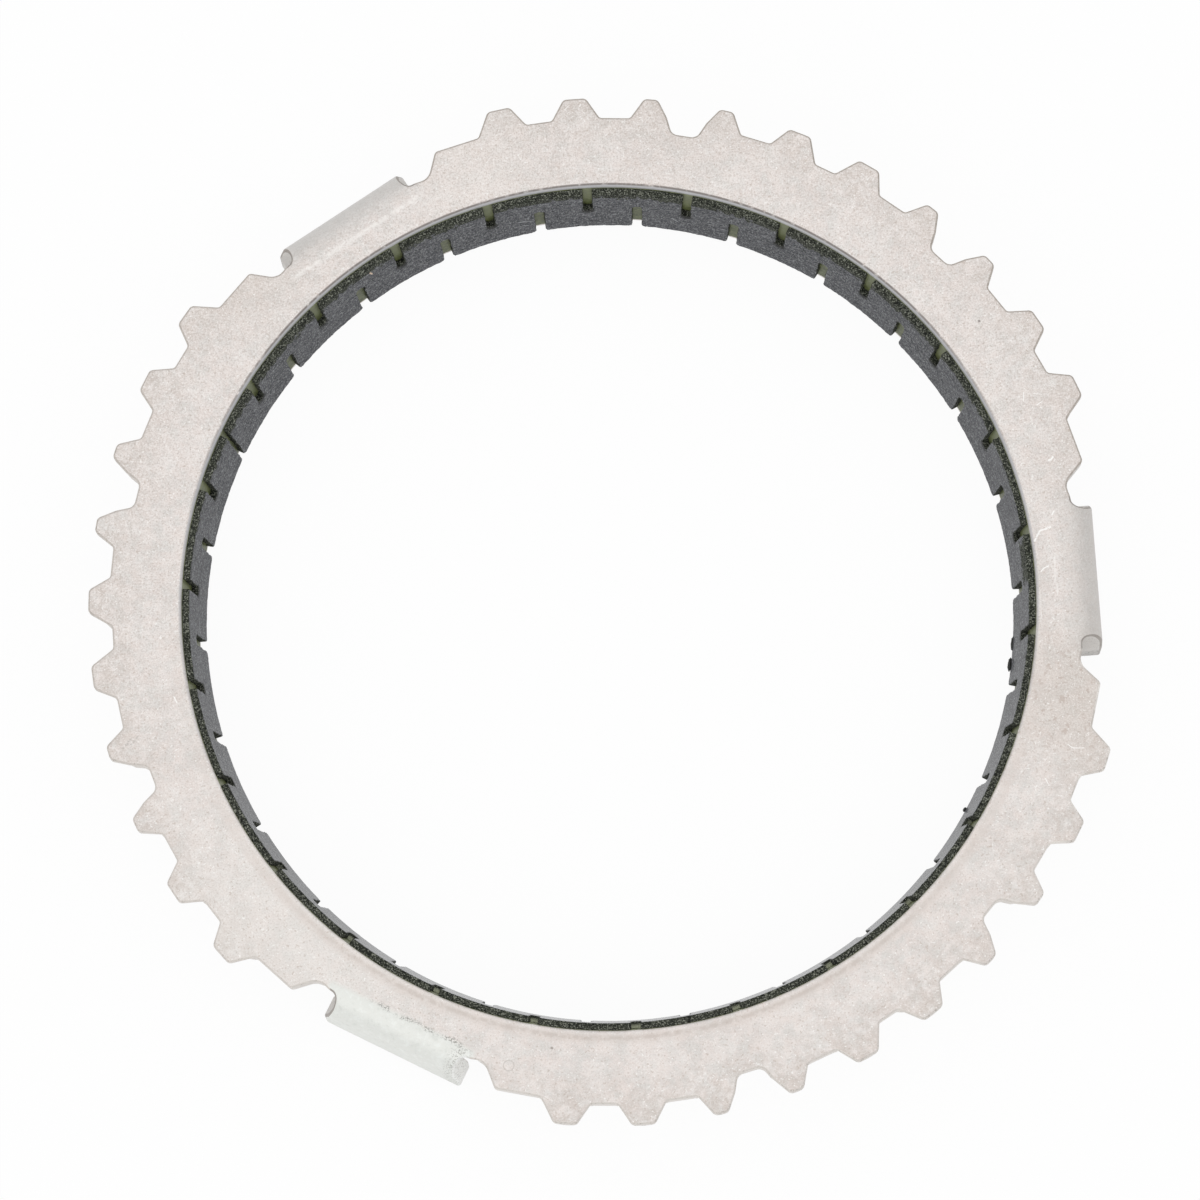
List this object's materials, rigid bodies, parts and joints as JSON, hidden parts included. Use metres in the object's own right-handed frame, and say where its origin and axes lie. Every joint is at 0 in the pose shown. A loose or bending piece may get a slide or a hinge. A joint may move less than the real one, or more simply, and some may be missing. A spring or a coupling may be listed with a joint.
{
  "type": "synchronizer ring",
  "caption": "Pressed steel synchronizer ring for a gearbox: toothed flange, bent drive lugs and a friction cone lined with a slotted friction strip.",
  "frame": {"origin": "on the ring's axis, in the plane of the cone's small end, on which the ring rests", "axes": "+Z along the ring's axis from the cone's small end to the toothed gear-side face, +X through the middle of the first lug"},
  "size_m": [0.0972, 0.1, 0.0093],
  "materials": {
    "steel": "satin pressed steel, bead-blasted and slightly mottled",
    "lining": "matt carbon friction composite, finely speckled"
  },
  "bodies": {
    "root": {"ring_body": "steel", "friction_lining": "lining"}
  },
  "joints": []
}
